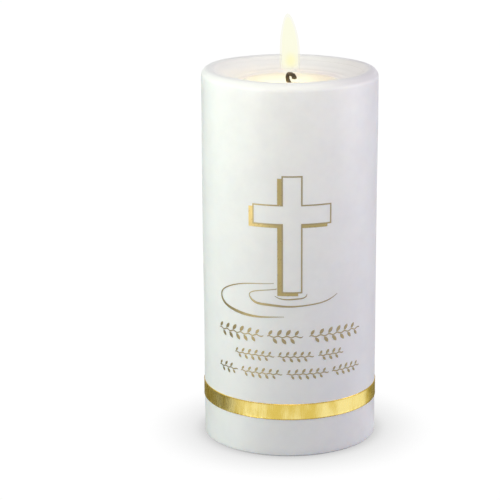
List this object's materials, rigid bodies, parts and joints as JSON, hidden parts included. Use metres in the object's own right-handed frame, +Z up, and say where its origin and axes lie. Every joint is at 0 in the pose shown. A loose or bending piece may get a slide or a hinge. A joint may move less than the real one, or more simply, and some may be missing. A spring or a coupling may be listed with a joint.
{
  "type": "unity candle",
  "caption": "White pillar candle, lit, with a gold foil cross and water ripple design, gold leaf ornament and a gold ribbon round its foot.",
  "frame": {"origin": "centre of the face that the candle stands on", "axes": "+Z up along the wick, -Y out of the middle of the printed side, +X to the right of a person who faces the printed side"},
  "size_m": [0.0714, 0.0718, 0.1752],
  "materials": {
    "core_wax": "satin",
    "overdip_wax": "satin",
    "molten_wax": "gloss",
    "wick_cotton": "matte",
    "priming_wax": "satin",
    "charred_cotton": "matte",
    "tinned_steel": "satin",
    "flame": "gloss",
    "flame_base": "gloss",
    "gold_foil": "gloss",
    "gold_ribbon": "satin",
    "clear_adhesive": "gloss"
  },
  "bodies": {
    "root": {"wax_core": "core_wax", "overdip_skin": "overdip_wax", "melt_pool": "molten_wax", "wick": "wick_cotton", "wick_prime_coat": "priming_wax", "wick_char_tip": "charred_cotton", "wick_sustainer": "tinned_steel", "flame_mantle": "flame", "flame_inner_cone": "flame_base", "cross_outline": "gold_foil", "cross_shade": "gold_foil", "ripple_outer": "gold_foil", "ripple_inner": "gold_foil", "ripple_foot": "gold_foil", "ornament_row_1": "gold_foil", "ornament_row_2": "gold_foil", "ornament_row_3": "gold_foil", "ribbon": "gold_ribbon", "ribbon_adhesive": "clear_adhesive"}
  },
  "joints": []
}
